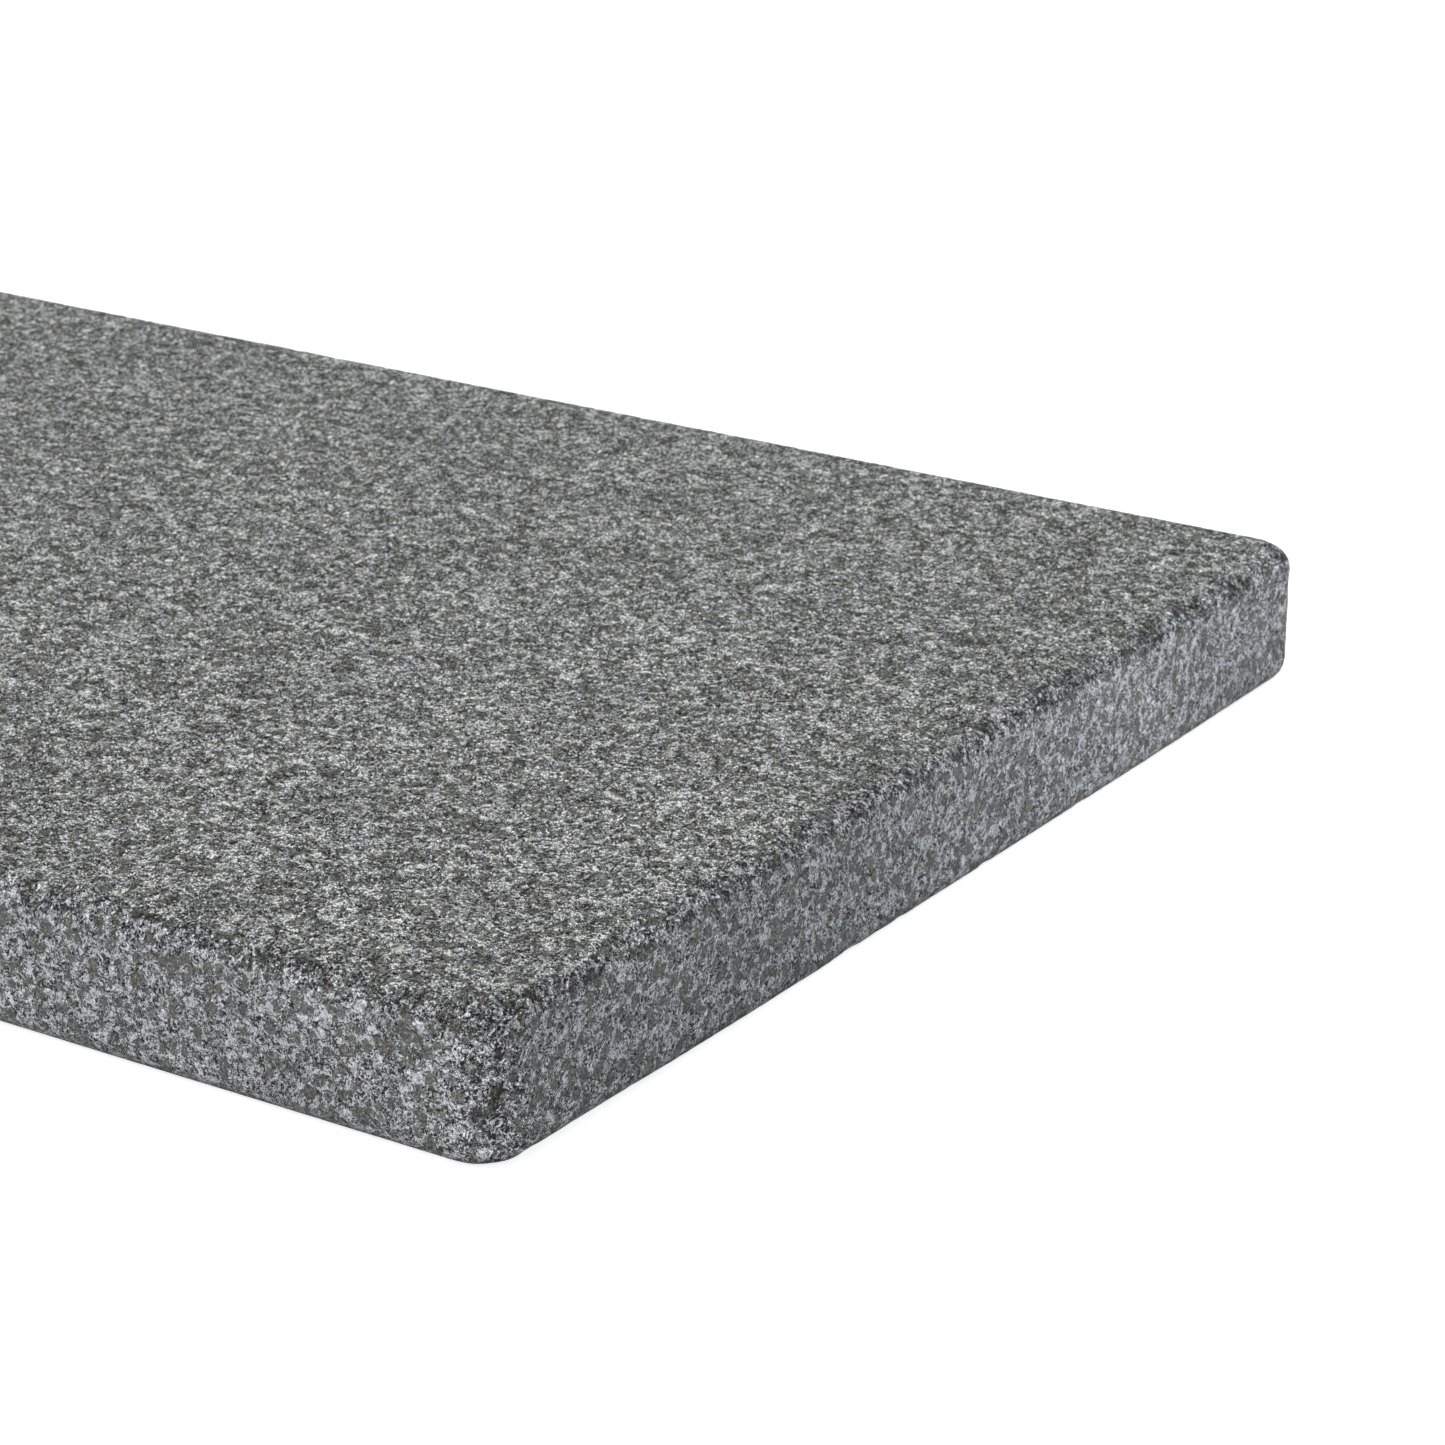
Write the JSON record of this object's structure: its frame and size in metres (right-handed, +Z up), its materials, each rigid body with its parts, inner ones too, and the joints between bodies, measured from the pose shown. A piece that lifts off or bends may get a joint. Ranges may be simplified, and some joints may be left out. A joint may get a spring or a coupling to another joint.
{
  "type": "granite slab",
  "caption": "Flat rectangular granite slab with a rough flame-textured face, eased edges and rounded corners, a heavy solid surface to stamp, punch and tool leather on.",
  "frame": {"origin": "centre of the underside, in the plane the slab rests on", "axes": "+X along the long side, +Y along the short side, +Z up out of the textured working face"},
  "size_m": [0.4, 0.3, 0.03],
  "materials": {
    "granite": "flame-textured grey granite: bluish-white feldspar, olive-grey quartz and fine black mica, dull and rough"
  },
  "bodies": {
    "root": {"granite_slab": "granite"}
  },
  "joints": []
}
